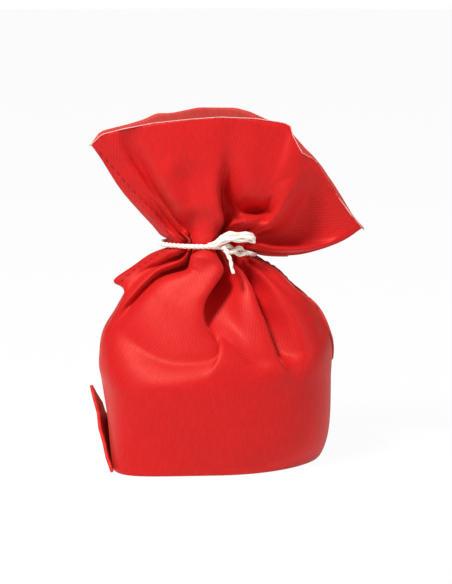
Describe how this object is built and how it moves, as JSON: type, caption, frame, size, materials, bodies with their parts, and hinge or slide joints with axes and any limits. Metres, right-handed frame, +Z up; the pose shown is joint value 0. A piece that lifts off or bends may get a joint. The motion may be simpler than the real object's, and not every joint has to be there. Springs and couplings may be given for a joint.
{
  "type": "tied fabric pouch",
  "caption": "Small filled satin favour pouch, gathered and tied round its neck with cotton twine, with a flared open ruffle on top.",
  "frame": {"origin": "middle of the flat underside that the pouch stands on", "axes": "+Z up through the tied neck, +X to the right along the pouch's width, the front with the knot towards -Y"},
  "size_m": [0.0817, 0.056, 0.1059],
  "materials": {
    "satin": "red satin with a fine diagonal rib and a soft sheen",
    "twine": "matt off-white twisted cotton"
  },
  "bodies": {
    "root": {"pouch": "satin", "tie_cord": "twine"}
  },
  "joints": []
}
